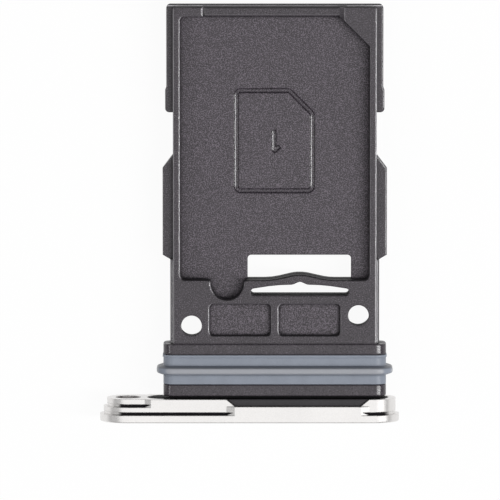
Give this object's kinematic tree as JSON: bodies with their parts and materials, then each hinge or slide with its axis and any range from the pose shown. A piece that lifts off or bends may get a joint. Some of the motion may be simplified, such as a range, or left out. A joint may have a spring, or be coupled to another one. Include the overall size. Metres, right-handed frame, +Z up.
{
  "type": "sim card tray",
  "caption": "Slide-in tray that carries a nano SIM card on each face, with a stepped metal end cap, an eject pinhole and a silicone seal round its neck.",
  "frame": {"origin": "middle of the end cap's outer face", "axes": "+Y the way the tray is pushed into the phone, +X along the cap away from the eject pinhole, +Z up out of the upper card pocket"},
  "size_m": [0.014, 0.0196, 0.0026],
  "materials": {
    "blasted_aluminium": "bead blasted and anodised",
    "moulded_plastic": "spark-eroded grain on the floors, smoother on the rails",
    "silicone": "soft satin"
  },
  "bodies": {
    "root": {"front_cap": "blasted_aluminium", "tray": "moulded_plastic", "seal": "silicone"}
  },
  "joints": []
}
